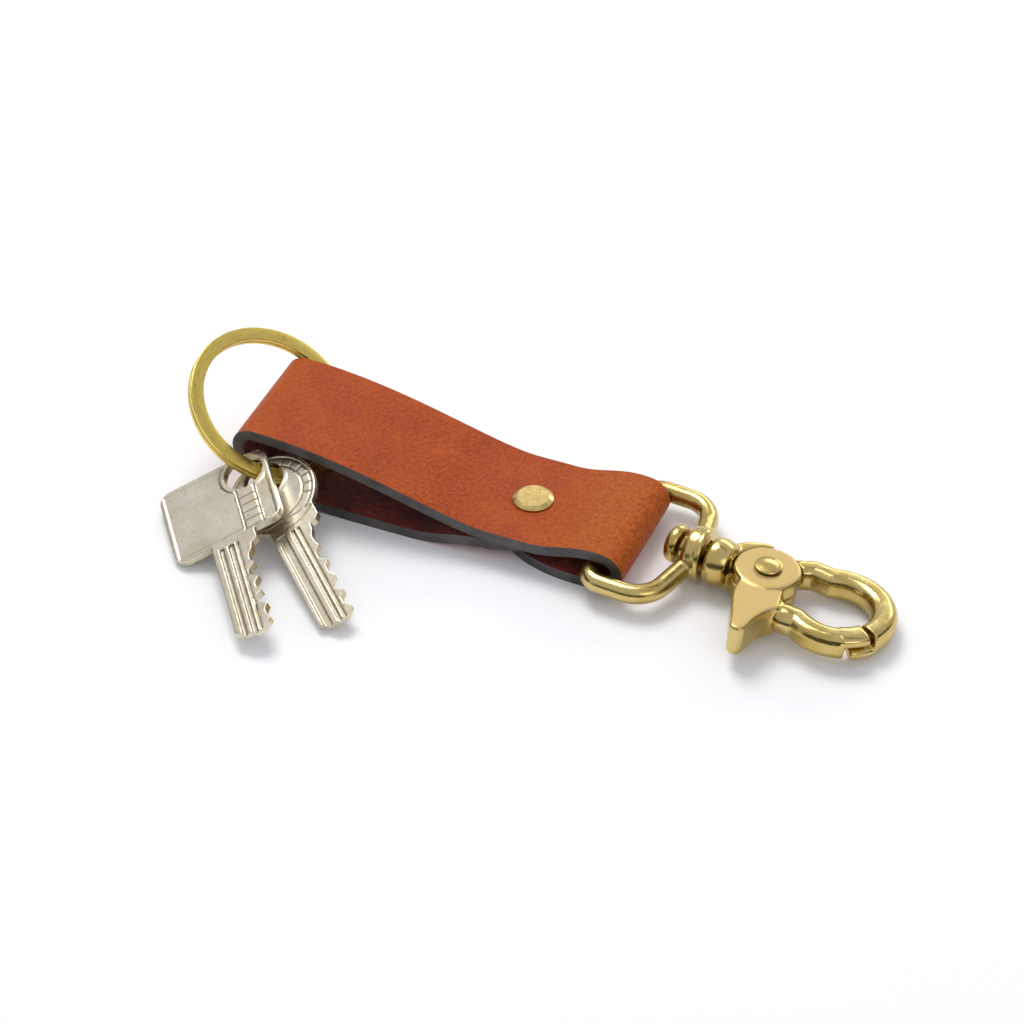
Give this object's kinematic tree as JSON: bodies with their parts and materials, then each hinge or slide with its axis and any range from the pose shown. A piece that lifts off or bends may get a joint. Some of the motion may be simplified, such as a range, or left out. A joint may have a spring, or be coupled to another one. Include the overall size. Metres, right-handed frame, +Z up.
{
  "type": "keychain",
  "caption": "Leather strap key fob with a swivelling trigger snap hook at one end and a split ring carrying keys at the other.",
  "frame": {"origin": "middle of the bounding box on the surface that the fob lies on", "axes": "+X along the strap from the split ring to the hook's eye, +Y across the strap away from the keys, +Z up out of the surface it lies on"},
  "size_m": [0.1454, 0.071, 0.0227],
  "materials": {
    "leather": "vegetable-tanned cowhide, pebbled grain side out, satin dark painted edges",
    "rivet_brass": "pressed and polished",
    "cast_brass": "cast and tumbled bright",
    "trigger_brass": "cast, satin flat faces with polished edges",
    "spring_steel": "drawn wire",
    "ring_brass": "rolled flat wire, brushed along its length",
    "nickel_silver_square": "nickel silver, tumbled, fresh cuts bright",
    "nickel_silver_round": "nickel silver, tumbled, worn bright"
  },
  "bodies": {
    "strap": {"leather_strap": "leather", "rivet_post": "rivet_brass", "rivet_cap": "rivet_brass"},
    "loop": {"swivel_loop": "cast_brass"},
    "hook": {"hook_body": "cast_brass", "pivot_pin": "rivet_brass", "trigger_spring": "spring_steel"},
    "trigger": {"trigger_lever": "trigger_brass"},
    "ring": {"split_ring": "ring_brass"},
    "square_key": {"key_square": "nickel_silver_square"},
    "round_key": {"key_round": "nickel_silver_round"}
  },
  "joints": [
    {"name": "loop_swing", "type": "hinge", "parent": "strap", "child": "loop", "pos_m": [0.01541, 0.01857, 0.0045], "axis": [-0.0628, -0.998, 0], "range_deg": [-90, 110]},
    {"name": "swivel", "type": "hinge", "parent": "loop", "child": "hook", "pos_m": [0.04634, 0.01549, 0.00482], "axis": [0.9884, -0.1389, -0.061], "continuous": true},
    {"name": "trigger_open", "type": "hinge", "parent": "hook", "child": "trigger", "pos_m": [0.04634, 0.01549, 0.00482], "axis": [-0.0724, -0.0778, -0.9943], "range_deg": [0, 26], "stiffness_Nm_per_rad": 0.02, "springref_deg": -20.05, "deforming": ["trigger_spring"]},
    {"name": "ring_swing", "type": "hinge", "parent": "strap", "child": "ring", "pos_m": [-0.0495, 0.01799, 0.0095], "axis": [0, 1, 0], "range_deg": [-10, 4]},
    {"name": "square_key_swing", "type": "hinge", "parent": "ring", "child": "square_key", "pos_m": [-0.05565, 0.003, 0.00921], "axis": [0.8434, 0.2425, -0.4794], "range_deg": [-8, 6]},
    {"name": "round_key_swing", "type": "hinge", "parent": "ring", "child": "round_key", "pos_m": [-0.05255, 0.00435, 0.00752], "axis": [0.784, 0.4677, -0.4082], "range_deg": [-5, 8]}
  ]
}
